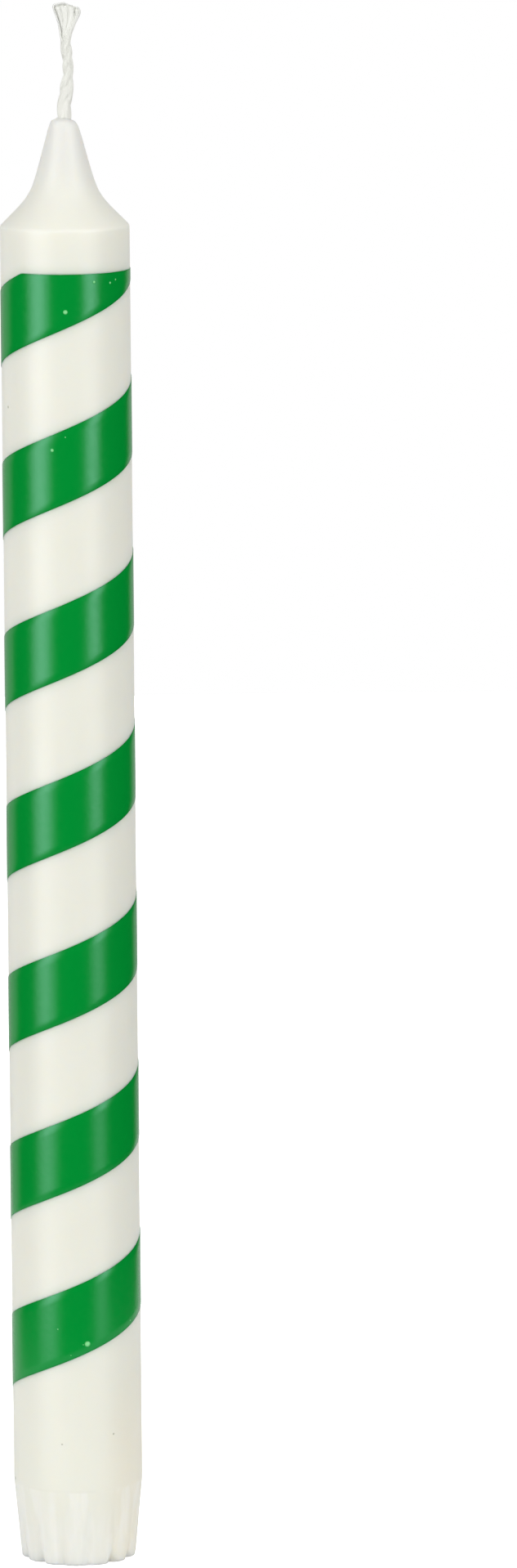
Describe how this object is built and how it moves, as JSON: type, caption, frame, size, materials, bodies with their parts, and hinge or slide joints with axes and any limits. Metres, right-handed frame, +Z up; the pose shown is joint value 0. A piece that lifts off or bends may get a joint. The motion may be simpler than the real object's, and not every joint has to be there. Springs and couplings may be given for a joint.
{
  "type": "taper candle",
  "caption": "Tall cylindrical taper candle in white wax with a green spiral stripe, a bell-shaped top, a fluted tapered foot and a plaited cotton wick.",
  "frame": {"origin": "centre of the foot's underside", "axes": "+Z up along the candle's axis towards the wick; -Y is the front, the side that faces the viewer in the picture; +X is to the viewer's right"},
  "size_m": [0.0227, 0.0228, 0.2696],
  "materials": {
    "white_wax": "smooth satin paraffin wax, slightly translucent, warm white",
    "green_lacquer": "thin glossy coat of green wax lacquer with a faint orange-peel surface",
    "waxed_cotton": "plaited white cotton yarn, stiffened with wax, frayed at the cut end"
  },
  "bodies": {
    "root": {"wax_body": "white_wax", "green_stripe": "green_lacquer", "wick_strand_a": "waxed_cotton", "wick_strand_b": "waxed_cotton", "wick_strand_c": "waxed_cotton"}
  },
  "joints": []
}
